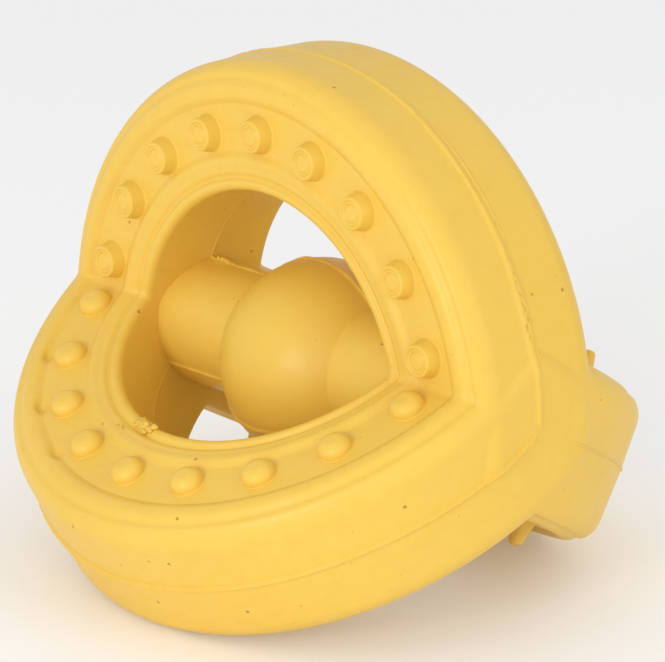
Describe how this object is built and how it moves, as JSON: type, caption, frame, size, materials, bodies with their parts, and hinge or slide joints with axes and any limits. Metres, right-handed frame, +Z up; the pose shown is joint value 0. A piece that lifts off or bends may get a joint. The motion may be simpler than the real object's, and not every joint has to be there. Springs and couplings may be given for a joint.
{
  "type": "rubber dog chew toy",
  "caption": "One-piece moulded rubber chew toy: nubbed half-ring arches stand round a crossbar that carries a ball in the middle.",
  "frame": {"origin": "centre of the bounding box footprint, on the surface the toy rests on", "axes": "+X along the crossbar, +Z up along the top arch, front arch towards -Y"},
  "size_m": [0.1106, 0.105, 0.0929],
  "materials": {
    "rubber": "satin moulded rubber, warm yellow"
  },
  "bodies": {
    "root": {"arch_front": "rubber", "arch_rear": "rubber", "arch_top": "rubber", "ball": "rubber", "crossbar_left": "rubber", "crossbar_right": "rubber", "domes_front_lower": "rubber", "domes_front_upper": "rubber", "hub_left": "rubber", "hub_right": "rubber", "spikes_rear_lower": "rubber", "spikes_rear_upper": "rubber", "studs_top_front": "rubber", "studs_top_rear": "rubber"}
  },
  "joints": []
}
